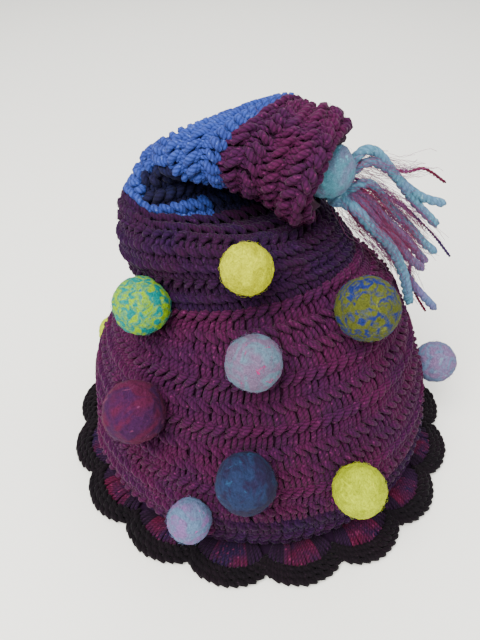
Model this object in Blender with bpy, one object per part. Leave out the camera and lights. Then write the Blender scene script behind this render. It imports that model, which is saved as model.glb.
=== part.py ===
"""Crochet tea cosy shaped like a pixie hat whose tip has flopped over.

The frame is in metres, +Z up.  The origin is the centre of the scalloped hem on the table.
The slit for a teapot's spout faces -X and the slit for its handle faces +X.
Sizes in the tables are in millimetres and degrees.
"""
import math
from collections import namedtuple

import bmesh
import bpy
from mathutils import Vector

MM = 0.001
GAP = 0.3                     # clearance between two pieces that touch
WALL = 4.0                    # thickness of the crochet fabric

# ---- the hat: one crochet row for each line --------------------------------------------
# lean: compass angle, from +X towards -Y, in which the row's plane is tilted
# pitch: angle of the hat's axis above the horizontal (90 is straight up)
# thick, wide: half sizes of the flattened tube, along the lean and across it
Row = namedtuple("Row", "x y z lean pitch thick wide")
ROWS = (
    Row(-1, 0, 0, 62, 90, 85.0, 85.0),
    Row(-1, 0, 6, 62, 90, 86.2, 86.2),
    Row(-2, 0, 16, 62, 90, 90.5, 90.5),
    Row(-2, 0, 31, 62, 90, 91.0, 91.0),
    Row(-2, 0, 50, 62, 91, 87.0, 87.0),
    Row(-3, 1, 70, 62, 94, 80.0, 80.0),
    Row(-4, 1, 86, 62, 98, 72.5, 72.5),
    Row(-5, 1, 100, 62, 103, 63.5, 63.5),
    Row(-8, 1, 112, 62, 106, 52.5, 52.5),
    Row(-12, 1, 125, 64, 106, 49.0, 51.0),
    Row(-16, 0, 138, 66, 105, 46.5, 51.0),
    Row(-19, 1, 149, 66, 104, 41.0, 46.5),
    Row(-23, 9, 155, 64, 106, 28.0, 41.5),
    Row(-24, 13, 160, 62, 108, 15.5, 38.0),
    Row(-22, 13, 166, 62, 98, 9.0, 36.0),
    Row(-20, 10, 171, 60, 60, 8.0, 34.0),
    Row(-15, 2, 175, 56, 18, 9.0, 32.5),
    Row(-7, -5, 177, 50, -3, 12.5, 30.0),
    Row(-1, -11, 176, 42, -10, 15.5, 26.0),
    Row(6, -16, 173.5, 32, -14, 17.5, 24.5),
    Row(12, -20, 171.5, 24, -17, 20.5, 27.5),
    Row(18.5, -22, 168.5, 20, -20, 19.0, 25.5),
    Row(22, -23, 167.5, 20, -20, 16.0, 20.0),
)
SAG = 13.0                    # depth of the neck's dip under the flopped tip
SAG_LEVELS = (8.0, 10.5, 12.0, 13.5)
SAG_AROUND, SAG_NEAR, SAG_FAR = 31.0, 15.0, 90.0
TUCK = 9.0                    # depth of the fold's hollow behind the neck's front edge
TUCK_LEVEL, TUCK_LEVELS = 12.6, 2.2
TUCK_AROUND, TUCK_NEAR, TUCK_FAR = -20.0, 35.0, 80.0
SCOOP = 8.0                   # how far the open tip is cut back towards the front
SCOOP_LEVELS = (19.5, 22.0)
SCOOP_AROUND, SCOOP_NEAR, SCOOP_FAR = 248.0, 30.0, 95.0
ROW_STEPS = 2                 # rings from one table row to the next
FACETS_AROUND = 32

# ---- slits left open in the fabric -----------------------------------------------------
Slit = namedtuple("Slit", "name side bottom top width")
SLITS = (
    Slit("spout_slit", -1, 9.0, 56.0, 42.0),
    Slit("handle_slit", 1, 12.0, 98.0, 20.0),
)
SLIT_SIDES = 24
SLIT_CUT_FROM_TO = (55.0, 130.0)   # the cutter's reach outwards from the hat's middle

# ---- scalloped hem ---------------------------------------------------------------------
FRILL_INNER = 87.7            # radius where the fans start, outside the hat's bottom row
FAN_RADIUS = 97.0            # reach of the coloured fans
FAN_NOTCH_RADIUS = 91.0       # coloured yarn between two fans
EDGE_RADIUS = 108.0           # reach of the black edging
EDGE_NOTCH_RADIUS = 99.5      # black edging in the notch between two scallops
FRILL_THICK = 4.6
FRILL_BEVEL = 1.6             # rounding of the fabric's outer edge
FRILL_LIP, FRILL_STEP = 1.3, 1.0
POINTS_PER_SCALLOP = 6
Scallop = namedtuple("Scallop", "angle reach")
SCALLOPS = (
    Scallop(-177, -0.5), Scallop(-156, 0.0), Scallop(-134, 0.0), Scallop(-112, 1.0),
    Scallop(-91, 0.5), Scallop(-70, 1.0), Scallop(-49, 0.5), Scallop(-28, 0.0),
    Scallop(-7, 0.0), Scallop(14, 0.5), Scallop(35, -0.5), Scallop(56, 0.5),
    Scallop(78, 0.5), Scallop(99, 1.2), Scallop(120, 0.0), Scallop(141, 0.0),
    Scallop(162, -0.5),
)

# ---- felt balls sewn to the hat --------------------------------------------------------
# level: place along the hat in table rows; around: angle from the lean direction
Ball = namedtuple("Ball", "name level around radius colour")
BALLS = (
    Ball("ball_turquoise_green", 8.74, -82, 12.4, (0.10, 0.55, 0.42)),
    Ball("ball_yellow", 10.05, -26, 10.2, (0.75, 0.72, 0.06)),
    Ball("ball_olive", 7.12, 1.5, 13.6, (0.30, 0.32, 0.08)),
    Ball("ball_light_blue", 6.83, -40, 11.6, (0.35, 0.48, 0.66)),
    Ball("ball_side_blue", 3.6, 50, 11.6, (0.35, 0.42, 0.66)),
    Ball("ball_back_lime", 2.5, -160, 12.0, (0.62, 0.70, 0.05)),
    Ball("ball_magenta", 5.35, -77, 14.0, (0.28, 0.05, 0.20)),
    Ball("ball_navy", 4.43, -44, 13.0, (0.05, 0.12, 0.30)),
    Ball("ball_lime", 3.86, -14, 12.1, (0.62, 0.70, 0.03)),
    Ball("ball_lilac", 3.22, -59, 10.1, (0.42, 0.52, 0.68)),
)
BALL_FLAT = 0.80              # a sewn ball is pressed flat this far from its centre
BALL_GAP = 0.8                # clearance of the flat over the curved hat
BALL_SEGMENTS, BALL_RINGS = 14, 8
TIP_BALL_RADIUS = 11.6
TIP_BALL_BEHIND = 3.0         # the tip's ball sits this far inside the open end

# ---- tassel of yarn ends, knotted beside the tip's ball --------------------------------
KNOT_RADIUS = 4.5
KNOT_AHEAD, KNOT_ASIDE = 7.5, 13.5
KNOT_DOWN = (0, 0.45, -0.89)   # way from the open tip's middle to the knot
STRAND_SIDES = 6
STRAND_STEPS = 2              # tube segments from one point of a route to the next
Strand = namedtuple("Strand", "radius route")
STRANDS = (
    Strand(1.5, ((32, -14, 163), (38, -12, 170), (46, -11, 168), (58, -10, 154),
                 (69, -8, 141), (83, -9, 127))),
    Strand(1.4, ((35, -13, 162), (43, -12, 165), (53, -10, 159), (64, -9, 149),
                 (74, -8, 142), (85, -8, 138))),
    Strand(1.6, ((34, -23, 149), (42, -24, 140), (53, -23, 128), (63, -22, 111), (71, -20, 90))),
    Strand(1.4, ((35, -20, 146), (45, -21, 136), (57, -20, 121), (70, -17, 102), (89, -16, 80))),
    Strand(1.4, ((42, -14, 156), (56, -12, 141), (69, -11, 128), (77, -10, 119), (85, -10, 112))),
    Strand(1.4, ((39, -15, 152), (53, -15, 137), (66, -14, 124), (72, -13, 117), (79, -13, 109))),
    Strand(1.4, ((37, -18, 150), (48, -18, 137), (60, -18, 125), (68, -17, 115), (76, -17, 108))),
)


def slope(values, i):
    """Tangent of an evenly spaced series at entry i."""
    low, high = max(i - 1, 0), min(i + 1, len(values) - 1)
    return (values[high] - values[low]) / (high - low)


def smooth(values, level):
    """Value of a series of numbers at a fractional entry, on a smooth curve through all."""
    i = min(int(level), len(values) - 2)
    t = level - i
    start, end = values[i], values[i + 1]
    rise = end - start
    m0, m1 = slope(values, i), slope(values, i + 1)
    return start + t * (m0 + t * (3 * rise - 2 * m0 - m1 + t * (m0 + m1 - 2 * rise)))


def row_at(level):
    """The hat's row at a fractional place in the table."""
    return Row(*(smooth(column, level) for column in zip(*ROWS)))


def frame_of(row):
    """Unit vectors of a row: along its thickness, across its width, and along the hat."""
    lean, pitch = math.radians(row.lean), math.radians(row.pitch)
    ahead = Vector((math.cos(lean), -math.sin(lean), 0))
    across = Vector((-ahead.y, ahead.x, 0))
    axis = ahead * math.cos(pitch) + Vector((0, 0, math.sin(pitch)))
    return across.cross(axis), across, axis


def ease(value):
    """Smooth ramp from 0 to 1."""
    value = min(max(value, 0.0), 1.0)
    return value * value * (3 - 2 * value)


def sag(level, around, inset):
    """How far the neck is pushed down under the tip and tucked into the fold."""
    first, full, last, end = SAG_LEVELS
    rows = ease((level - first) / (full - first)) * ease((end - level) / (end - last))
    off = abs((around - SAG_AROUND + 180) % 360 - 180)
    dip = SAG * rows * ease((SAG_FAR - off) / (SAG_FAR - SAG_NEAR))
    rows = max(0.0, 1 - abs(level - TUCK_LEVEL) / TUCK_LEVELS)
    off = abs((around - TUCK_AROUND + 180) % 360 - 180)
    return dip + (TUCK + inset) * ease(rows) * ease((TUCK_FAR - off) / (TUCK_FAR - TUCK_NEAR))


def scoop(level, around):
    """How far a point near the open tip is drawn back along the hat's axis."""
    first, last = SCOOP_LEVELS
    off = abs((around - SCOOP_AROUND + 180) % 360 - 180)
    rows = ease((level - first) / (last - first))
    return SCOOP * rows * ease((SCOOP_FAR - off) / (SCOOP_FAR - SCOOP_NEAR))


def hat_point(level, around, inset=0.0):
    """Point on the hat's outer surface, or on its lining when inset by the wall."""
    row = row_at(level)
    thick, wide = row.thick - inset, row.wide - inset
    thick_way, wide_way, axis = frame_of(row)
    angle = math.radians(around)
    side = math.sin(angle)
    spread = math.copysign(math.sin(math.pi / 2 * min(1.0, 1.25 * abs(side))), side)
    out = thick_way * (thick * math.cos(angle))
    out += wide_way * (thick * side + (wide - thick) * spread)
    out.z -= sag(level, around, inset)
    out -= axis * scoop(level, around)
    return Vector((row.x, row.y, row.z)) + out


def hat_normal(level, around):
    """Outward unit normal of the hat's outer surface."""
    step = 0.02
    low, high = max(level - step, 0), min(level + step, len(ROWS) - 1)
    along = hat_point(high, around) - hat_point(low, around)
    turn = hat_point(level, around + 1) - hat_point(level, around - 1)
    return turn.cross(along).normalized()


def material(name, colour, roughness=0.9):
    """A plain Principled material."""
    made = bpy.data.materials.new(name)
    made.use_nodes = True
    shader = made.node_tree.nodes["Principled BSDF"]
    shader.inputs["Base Color"].default_value = (*colour, 1)
    shader.inputs["Roughness"].default_value = roughness
    shader.inputs["Metallic"].default_value = 0.0
    return made


def finish(name, builder, colour):
    """Turn a bmesh in millimetres into a smooth-shaded object in metres."""
    bmesh.ops.scale(builder, vec=(MM, MM, MM), verts=builder.verts)
    mesh = bpy.data.meshes.new(name)
    builder.to_mesh(mesh)
    builder.free()
    mesh.shade_smooth()
    mesh.set_sharp_from_angle(angle=math.radians(50))
    mesh.materials.append(material(name, colour))
    made = bpy.data.objects.new(name, mesh)
    bpy.context.scene.collection.objects.link(made)
    return made


def ring_faces(builder, rings, closed=False):
    """Quads between rings of vertices; closed also joins the last ring to the first."""
    count = len(rings[0])
    pairs = list(zip(rings, rings[1:])) + ([(rings[-1], rings[0])] if closed else [])
    for lower, upper in pairs:
        for i in range(count):
            j = (i + 1) % count
            builder.faces.new((lower[i], lower[j], upper[j], upper[i]))


def hat():
    """The one-piece hat: outer skin up, round the tip's open end, and inner skin down."""
    builder = bmesh.new()
    levels = [i / ROW_STEPS for i in range((len(ROWS) - 1) * ROW_STEPS + 1)]
    turns = [360 * i / FACETS_AROUND for i in range(FACETS_AROUND)]
    outer, inner = [], []
    for level in levels:
        skin = [hat_point(level, turn) for turn in turns]
        lining = [hat_point(level, turn, WALL) for turn in turns]
        outer.append([builder.verts.new(p) for p in skin])
        inner.append([builder.verts.new(p) for p in lining])
    ring_faces(builder, outer + inner[::-1], closed=True)
    return finish("hat", builder, (0.13, 0.03, 0.14))


def slit_cutter(slit):
    """A lens-shaped bar through one wall of the hat."""
    builder = bmesh.new()
    middle, half = (slit.bottom + slit.top) / 2, (slit.top - slit.bottom) / 2
    rings = []
    for x in SLIT_CUT_FROM_TO:
        ring = []
        for i in range(SLIT_SIDES):
            angle = 2 * math.pi * i / SLIT_SIDES
            y = slit.width / 2 * math.sin(angle) * abs(math.sin(angle)) ** 0.25
            ring.append(builder.verts.new((slit.side * x, y, middle + half * math.cos(angle))))
        rings.append(ring)
    ring_faces(builder, rings)
    builder.faces.new(rings[0])
    builder.faces.new(rings[1])
    bmesh.ops.recalc_face_normals(builder, faces=builder.faces)
    cutter = finish(slit.name, builder, (1, 0, 0))
    cutter.hide_render = True
    cutter.display_type = "WIRE"
    return cutter


def cut_slits(body):
    for slit in SLITS:
        cut = body.modifiers.new(slit.name, "BOOLEAN")
        cut.operation = "DIFFERENCE"
        cut.solver = "EXACT"
        cut.object = slit_cutter(slit)


def scallop_radius(angle, notch, crest):
    """Radius of a scalloped outline at a compass angle: a half round on each scallop."""
    count = len(SCALLOPS)
    for i in range(count):
        here, after = SCALLOPS[i], SCALLOPS[(i + 1) % count]
        width = (after.angle - here.angle) % 360
        offset = (angle - here.angle) % 360
        if offset <= width:
            near, share = (here, offset / width) if offset <= width / 2 else (after, 1 - offset / width)
            bow = math.sqrt(max(0.0, 1 - (2 * share) ** 2))
            return notch + (crest + near.reach - notch) * (0.15 * (1 - 2 * share) + 0.85 * bow)
    return notch


def scallop_angles():
    """Angles that run through every crest and notch."""
    angles = []
    count = len(SCALLOPS)
    for i, here in enumerate(SCALLOPS):
        width = (SCALLOPS[(i + 1) % count].angle - here.angle) % 360
        angles += [here.angle + width * j / POINTS_PER_SCALLOP for j in range(POINTS_PER_SCALLOP)]
    return angles


def frill_ring(name, inner, outer, colour):
    """A flat-bottomed ring of fabric between two outlines, rounded over its top."""
    builder = bmesh.new()
    rings = [[], [], [], [], [], []]
    for angle in scallop_angles():
        a, b = inner(angle), outer(angle)
        bevel = min(FRILL_BEVEL, (b - a) / 3)
        section = ((a, 0), (b - bevel / 2, 0), (b, FRILL_LIP), (b - bevel, FRILL_THICK),
                   (a + bevel, FRILL_THICK), (a, FRILL_THICK - FRILL_STEP))
        turn = math.radians(angle)
        for ring, (radius, z) in zip(rings, section):
            ring.append(builder.verts.new((radius * math.cos(turn), radius * math.sin(turn), z)))
    ring_faces(builder, rings, closed=True)
    bmesh.ops.recalc_face_normals(builder, faces=builder.faces)
    return finish(name, builder, colour)


def frill():
    """The coloured fans next to the hat, and the black edging round them."""
    def fan_outline(angle):
        return scallop_radius(angle, FAN_NOTCH_RADIUS, FAN_RADIUS)

    def edge_outline(angle):
        return scallop_radius(angle, EDGE_NOTCH_RADIUS, EDGE_RADIUS)

    frill_ring("frill_fans", lambda angle: FRILL_INNER, fan_outline, (0.16, 0.02, 0.09))
    frill_ring("frill_edging", lambda angle: fan_outline(angle) + GAP, edge_outline,
               (0.012, 0.008, 0.015))


def ball_mesh(builder, centre, radius, out, flat):
    """A ball whose side away from `out` is pressed flat at `flat` of its radius."""
    turn = Vector((0, 0, 1)).rotation_difference(out)
    made = bmesh.ops.create_uvsphere(builder, u_segments=BALL_SEGMENTS,
                                     v_segments=BALL_RINGS, radius=radius)
    for vert in made["verts"]:
        vert.co.z = max(vert.co.z, -flat * radius)
        vert.co = centre + turn @ vert.co


def balls():
    for ball in BALLS:
        builder = bmesh.new()
        out = hat_normal(ball.level, ball.around)
        centre = hat_point(ball.level, ball.around) + out * (BALL_FLAT * ball.radius + BALL_GAP)
        ball_mesh(builder, centre, ball.radius, out, BALL_FLAT)
        finish(ball.name, builder, ball.colour)


def mouth():
    """Centre and outward direction of the hat's open tip."""
    row = ROWS[-1]
    return Vector((row.x, row.y, row.z)), frame_of(row)[2]


def tip_ball():
    builder = bmesh.new()
    centre, axis = mouth()
    ball_mesh(builder, centre - axis * TIP_BALL_BEHIND, TIP_BALL_RADIUS, axis, 1.0)
    finish("ball_tip", builder, (0.20, 0.45, 0.50))


def knot():
    """Centre of the tassel's knot: ahead of the open tip, at the far side of its ball."""
    centre, axis = mouth()
    down = Vector(KNOT_DOWN)
    down -= axis * down.dot(axis)
    return centre + axis * KNOT_AHEAD + down.normalized() * KNOT_ASIDE


def strand_tube(strand, start):
    """A closed tube that leaves the knot and follows the strand's route."""
    points = [start] + [Vector(point) for point in strand.route]
    count = (len(points) - 1) * STRAND_STEPS
    path = []
    for i in range(count + 1):
        level = i * (len(points) - 1) / count
        path.append(Vector([smooth(column, level) for column in zip(*points)]))
    builder = bmesh.new()
    side = Vector((0, 1, 0))
    rings = []
    for i, point in enumerate(path):
        along = slope(path, i).normalized()
        side = (side - along * side.dot(along)).normalized()
        other = along.cross(side)
        ring = []
        for j in range(STRAND_SIDES):
            turn = 2 * math.pi * j / STRAND_SIDES
            offset = side * math.cos(turn) + other * math.sin(turn)
            ring.append(builder.verts.new(point + offset * strand.radius))
        rings.append(ring)
    ring_faces(builder, rings)
    builder.faces.new(rings[0])
    builder.faces.new(rings[-1])
    bmesh.ops.recalc_face_normals(builder, faces=builder.faces)
    return builder


def tassel():
    """The knot with its strands joined on, as one solid."""
    builder = bmesh.new()
    start = knot()
    ball_mesh(builder, start, KNOT_RADIUS, Vector((0, 0, 1)), 1.0)
    made = finish("tassel", builder, (0.16, 0.40, 0.48))
    for i, strand in enumerate(STRANDS):
        tube = finish(f"tassel_strand_{i + 1}", strand_tube(strand, start), (0.16, 0.40, 0.48))
        tube.hide_render = True
        tube.display_type = "WIRE"
        join = made.modifiers.new(tube.name, "BOOLEAN")
        join.operation = "UNION"
        join.solver = "EXACT"
        join.object = tube


def main():
    for old in list(bpy.data.objects):
        bpy.data.objects.remove(old)
    cut_slits(hat())
    frill()
    balls()
    tip_ball()
    tassel()


main()
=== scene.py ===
"""Looks of the crochet tea cosy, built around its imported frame.

The hat's fabric is a thin cloth with every crochet stitch standing on it as yarn: leaning posts,
and the loops along the top of each round.  Lengths in this file are in millimetres and angles in
degrees until a mesh is made, which is in metres.
"""
import math
from collections import namedtuple

import bmesh
import bpy
import mathutils.noise
import numpy as np
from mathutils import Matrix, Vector


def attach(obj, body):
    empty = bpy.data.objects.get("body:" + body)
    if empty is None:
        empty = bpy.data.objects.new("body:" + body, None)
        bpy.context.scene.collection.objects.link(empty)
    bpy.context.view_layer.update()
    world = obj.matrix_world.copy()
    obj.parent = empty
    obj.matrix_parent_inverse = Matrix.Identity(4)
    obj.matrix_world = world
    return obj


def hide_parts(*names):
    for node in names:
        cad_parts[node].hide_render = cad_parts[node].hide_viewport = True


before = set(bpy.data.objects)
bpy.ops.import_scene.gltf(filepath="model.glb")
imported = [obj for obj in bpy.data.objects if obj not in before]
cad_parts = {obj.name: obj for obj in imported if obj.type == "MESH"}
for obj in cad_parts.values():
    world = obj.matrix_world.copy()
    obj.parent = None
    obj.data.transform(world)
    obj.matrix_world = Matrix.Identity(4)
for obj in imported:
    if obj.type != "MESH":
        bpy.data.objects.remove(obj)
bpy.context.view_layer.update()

MM = 0.001

# ======================================================================== camera and studio
TARGET = Vector((-0.0113, 0.0024, 0.0745))
DISTANCE = 0.3208
AZIMUTH, ELEVATION = -12.0, 40.0
LENS, SENSOR = 34.31, 36.0


def direction(azimuth, elevation):
    """Unit vector from the object towards a viewer."""
    azimuth, elevation = math.radians(azimuth), math.radians(elevation)
    flat = math.cos(elevation)
    return Vector((math.sin(azimuth) * flat, -math.cos(azimuth) * flat, math.sin(elevation)))


def look_from(obj, place, target):
    """Places a camera or light and turns it to a target."""
    obj.location = place
    obj.rotation_euler = (target - place).to_track_quat("-Z", "Y").to_euler()
    bpy.context.scene.collection.objects.link(obj)


def camera():
    data = bpy.data.cameras.new("camera")
    data.lens = LENS
    data.sensor_width = SENSOR
    data.clip_start = 0.01
    made = bpy.data.objects.new("camera", data)
    look_from(made, TARGET + direction(AZIMUTH, ELEVATION) * DISTANCE, TARGET)
    bpy.context.scene.camera = made


def area_light(name, azimuth, elevation, distance, size, power, colour):
    data = bpy.data.lights.new(name, "AREA")
    data.shape = "DISK"
    data.size = size
    data.energy = power
    data.color = colour
    look_from(bpy.data.objects.new(name, data), direction(azimuth, elevation) * distance,
              Vector((0, 0, 0.08)))


def studio():
    area_light("window", -40, 57, 1.3, 0.9, 38, (1.0, 0.99, 0.96))
    area_light("sky", 60, 70, 1.5, 1.5, 10, (0.93, 0.96, 1.0))
    area_light("back", 170, 50, 1.4, 1.0, 9, (1.0, 0.98, 0.95))
    world = bpy.data.worlds.new("studio")
    world.use_nodes = True
    world.node_tree.nodes["Background"].inputs["Color"].default_value = (0.90, 0.92, 0.95, 1)
    world.node_tree.nodes["Background"].inputs["Strength"].default_value = 0.8
    bpy.context.scene.world = world
    bpy.ops.mesh.primitive_plane_add(size=8, location=(0, 0, -0.0004))
    floor = bpy.context.object
    floor.name = "floor"
    data = bpy.data.materials.new("floor")
    data.use_nodes = True
    shader = data.node_tree.nodes["Principled BSDF"]
    shader.inputs["Base Color"].default_value = (0.97, 0.95, 0.88, 1)
    shader.inputs["Roughness"].default_value = 0.8
    floor.data.materials.append(data)


# ===================================================================== the hat's own surface
# One row of numbers for each section of the hat: its centre, the angle from +X towards -Y in
# which the hat leans there, the pitch of its axis, and its half thickness and half width.
# A level is a place in this table, with fractions between two rows; around is the angle that
# goes round a section.
SECTIONS = np.array((
    (-1, 0, 0, 62, 90, 85.0, 85.0),
    (-1, 0, 6, 62, 90, 86.2, 86.2),
    (-2, 0, 16, 62, 90, 90.5, 90.5),
    (-2, 0, 31, 62, 90, 91.0, 91.0),
    (-2, 0, 50, 62, 91, 87.0, 87.0),
    (-3, 1, 70, 62, 94, 80.0, 80.0),
    (-4, 1, 86, 62, 98, 72.5, 72.5),
    (-5, 1, 100, 62, 103, 63.5, 63.5),
    (-8, 1, 112, 62, 106, 52.5, 52.5),
    (-12, 1, 125, 64, 106, 49.0, 51.0),
    (-16, 0, 138, 66, 105, 46.5, 51.0),
    (-19, 1, 149, 66, 104, 41.0, 46.5),
    (-23, 9, 155, 64, 106, 28.0, 41.5),
    (-24, 13, 160, 62, 108, 15.5, 38.0),
    (-22, 13, 166, 62, 98, 9.0, 36.0),
    (-20, 10, 171, 60, 60, 8.0, 34.0),
    (-15, 2, 175, 56, 18, 9.0, 32.5),
    (-7, -5, 177, 50, -3, 12.5, 30.0),
    (-1, -11, 176, 42, -10, 15.5, 26.0),
    (6, -16, 173.5, 32, -14, 17.5, 24.5),
    (12, -20, 171.5, 24, -17, 20.5, 27.5),
    (18.5, -22, 168.5, 20, -20, 19.0, 25.5),
    (22, -23, 167.5, 20, -20, 16.0, 20.0),
))
LAST = len(SECTIONS) - 1
SAG = 13.0                     # dip of the neck under the flopped tip
SAG_LEVELS = (8.0, 10.5, 12.0, 13.5)
SAG_AROUND, SAG_NEAR, SAG_FAR = 31.0, 15.0, 90.0
TUCK = 9.0                     # depth of the fold's hollow behind the neck's front edge
TUCK_LEVEL, TUCK_LEVELS = 12.6, 2.2
TUCK_AROUND, TUCK_NEAR, TUCK_FAR = -20.0, 35.0, 80.0
SCOOP = 8.0                    # how far the open tip is cut back towards the front
SCOOP_LEVELS = (19.5, 22.0)
SCOOP_AROUND, SCOOP_NEAR, SCOOP_FAR = 248.0, 30.0, 95.0
SQUARED = 1.25                 # how soon a flat section's side widens to its full half width
LEVEL_STEP, TURN_STEP = 0.06, 1.5      # steps that measure the surface's slope


def ease(value):
    """Smooth ramp from 0 to 1."""
    value = np.clip(value, 0.0, 1.0)
    return value * value * (3 - 2 * value)


def between_rows(rows, level):
    """Rows of a table at fractional places, on smooth curves through all of them."""
    i = np.minimum(level.astype(int), len(rows) - 2)
    t = (level - i)[..., None]
    slopes = np.gradient(rows, axis=0)
    start, rise = rows[i], rows[i + 1] - rows[i]
    m0, m1 = slopes[i], slopes[i + 1]
    return start + t * (m0 + t * (3 * rise - 2 * m0 - m1 + t * (m0 + m1 - 2 * rise)))


def curve_through(points, count):
    """Smooth curve through a list of points, as `count` even steps of its parameter."""
    points = np.asarray(points, float)
    return between_rows(points, np.linspace(0, len(points) - 1, count))


def off_from(around, middle):
    """Degrees between two angles, either way round."""
    return np.abs((around - middle + 180) % 360 - 180)


def hat_point(level, around, inset=0.0):
    """Points on the hat's outer surface, or on one inset from it."""
    level, around = np.broadcast_arrays(np.asarray(level, float), np.asarray(around, float))
    rows = between_rows(SECTIONS, np.clip(level, 0, LAST))
    x, y, z, lean, pitch, thick, wide = np.moveaxis(rows, -1, 0)
    thick, wide = thick - inset, wide - inset
    lean, pitch, turn = np.radians(lean), np.radians(pitch), np.radians(around)
    nothing = np.zeros_like(x)
    ahead = np.stack((np.cos(lean), -np.sin(lean), nothing), -1)
    across = np.stack((np.sin(lean), np.cos(lean), nothing), -1)
    axis = ahead * np.cos(pitch)[..., None] + np.stack((nothing, nothing, np.sin(pitch)), -1)
    thick_way = np.cross(across, axis)
    side = np.sin(turn)
    spread = np.sign(side) * np.sin(math.pi / 2 * np.minimum(1.0, SQUARED * np.abs(side)))
    out = thick_way * (thick * np.cos(turn))[..., None]
    out = out + across * (thick * side + (wide - thick) * spread)[..., None]
    first, full, last, end = SAG_LEVELS
    rows = ease((level - first) / (full - first)) * ease((end - level) / (end - last))
    off = off_from(around, SAG_AROUND)
    out[..., 2] -= SAG * rows * ease((SAG_FAR - off) / (SAG_FAR - SAG_NEAR))
    rows = ease(1 - np.abs(level - TUCK_LEVEL) / TUCK_LEVELS)
    off = off_from(around, TUCK_AROUND)
    out[..., 2] -= (TUCK + inset) * rows * ease((TUCK_FAR - off) / (TUCK_FAR - TUCK_NEAR))
    rows = ease((level - SCOOP_LEVELS[0]) / (SCOOP_LEVELS[1] - SCOOP_LEVELS[0]))
    off = off_from(around, SCOOP_AROUND)
    back = SCOOP * rows * ease((SCOOP_FAR - off) / (SCOOP_FAR - SCOOP_NEAR))
    return np.stack((x, y, z), -1) + out - axis * back[..., None]


def unit(vectors):
    return vectors / np.maximum(np.linalg.norm(vectors, axis=-1, keepdims=True), 1e-9)


def hat_frame(level, around):
    """Points on the hat and the surface's outward unit normals."""
    level = np.asarray(level, float)
    low, high = np.maximum(level - LEVEL_STEP, 0), np.minimum(level + LEVEL_STEP, LAST)
    along = hat_point(high, around) - hat_point(low, around)
    turn = hat_point(level, around + TURN_STEP) - hat_point(level, around - TURN_STEP)
    return hat_point(level, around), unit(np.cross(turn, along))


def even_around(level):
    """One round's length, and the share of that length passed at each degree."""
    turns = np.linspace(0, 360, 361)
    points = hat_point(np.full(361, float(level)), turns)
    steps = np.linalg.norm(np.diff(points, axis=0), axis=1)
    length = np.concatenate(((0,), np.cumsum(steps)))
    return length[-1], length / length[-1], turns


# ==================================================================== meshes made of yarn
def new_object(name, mesh):
    made = bpy.data.objects.new(name, mesh)
    bpy.context.scene.collection.objects.link(made)
    return made


def tubes(name, groups, sides=6):
    """One mesh of closed yarn tubes.

    Each group is (paths, ups, radii): K paths of P points, the directions that face out of the
    fabric, and the yarn's radius at each of the P points.
    """
    verts, faces, uvs = [], [], []
    base = 0
    turn = np.arange(sides) * 2 * math.pi / sides
    for paths, ups, radii in groups:
        count, points, _ = paths.shape
        tangent = unit(np.gradient(paths, axis=1))
        side = unit(np.cross(tangent, ups))
        up = np.cross(side, tangent)
        radii = np.broadcast_to(radii, (count, points))[..., None, None]
        ring = (np.cos(turn)[:, None] * side[:, :, None, :]
                + np.sin(turn)[:, None] * up[:, :, None, :])
        verts.append((paths[:, :, None, :] + radii * ring).reshape(-1, 3))
        step = np.linalg.norm(np.diff(paths, axis=1), axis=2)
        length = np.concatenate((np.zeros((count, 1)), np.cumsum(step, axis=1)), axis=1)
        k, i, j = np.meshgrid(np.arange(count), np.arange(points - 1), np.arange(sides),
                              indexing="ij")
        start = base + (k * points + i) * sides
        after = (j + 1) % sides
        quads = np.stack((start + j, start + after, start + sides + after, start + sides + j), -1)
        faces += quads.reshape(-1, 4).tolist()
        u0, u1 = length[k, i], length[k, i + 1]
        v0, v1 = j / sides, (j + 1) / sides
        corners = np.stack((u0, v0, u0, v1, u1, v1, u1, v0), -1)
        uvs.append(corners.reshape(-1, 2))
        first = base + np.arange(count)[:, None] * points * sides
        ends = (first + np.arange(sides)[::-1], first + (points - 1) * sides + np.arange(sides))
        for cap in ends:
            faces += cap.tolist()
            uvs.append(np.zeros((count * sides, 2)))
        base += count * points * sides
    mesh = bpy.data.meshes.new(name)
    mesh.from_pydata((np.concatenate(verts) * MM).tolist(), [], faces)
    layer = mesh.uv_layers.new(name="yarn")
    layer.data.foreach_set("uv", np.concatenate(uvs).ravel())
    mesh.polygons.foreach_set("use_smooth", np.ones(len(faces), bool))
    return new_object(name, mesh)


# ============================================================================== materials
def nodes_of(name, roughness=0.9, sheen=0.08, sheen_tint=(1, 1, 1)):
    """A new wool material and helpers to add nodes to it."""
    made = bpy.data.materials.new(name)
    made.use_nodes = True
    tree = made.node_tree
    shader = tree.nodes["Principled BSDF"]
    shader.inputs["Roughness"].default_value = roughness
    shader.inputs["Specular IOR Level"].default_value = 0.12
    shader.inputs["Sheen Weight"].default_value = sheen
    shader.inputs["Sheen Roughness"].default_value = 0.45
    shader.inputs["Sheen Tint"].default_value = (*sheen_tint, 1)

    def add(kind, links=(), **values):
        node = tree.nodes.new(kind)
        for key, value in values.items():
            if hasattr(node, key):
                setattr(node, key, value)
            else:
                node.inputs[key.replace("_", " ")].default_value = value
        for socket, source in links:
            tree.links.new(source, node.inputs[socket])
        return node

    return made, tree, shader, add


def mix(add, factor, low, high, blend="MIX"):
    """Colour mix; low and high are colours or sockets."""
    node = add("ShaderNodeMix", data_type="RGBA", blend_type=blend)
    tree = node.id_data
    if isinstance(factor, float):
        node.inputs[0].default_value = factor
    else:
        tree.links.new(factor, node.inputs[0])
    for index, value in ((6, low), (7, high)):
        if isinstance(value, tuple):
            node.inputs[index].default_value = (*value, 1)
        else:
            tree.links.new(value, node.inputs[index])
    return node.outputs[2]


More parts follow.
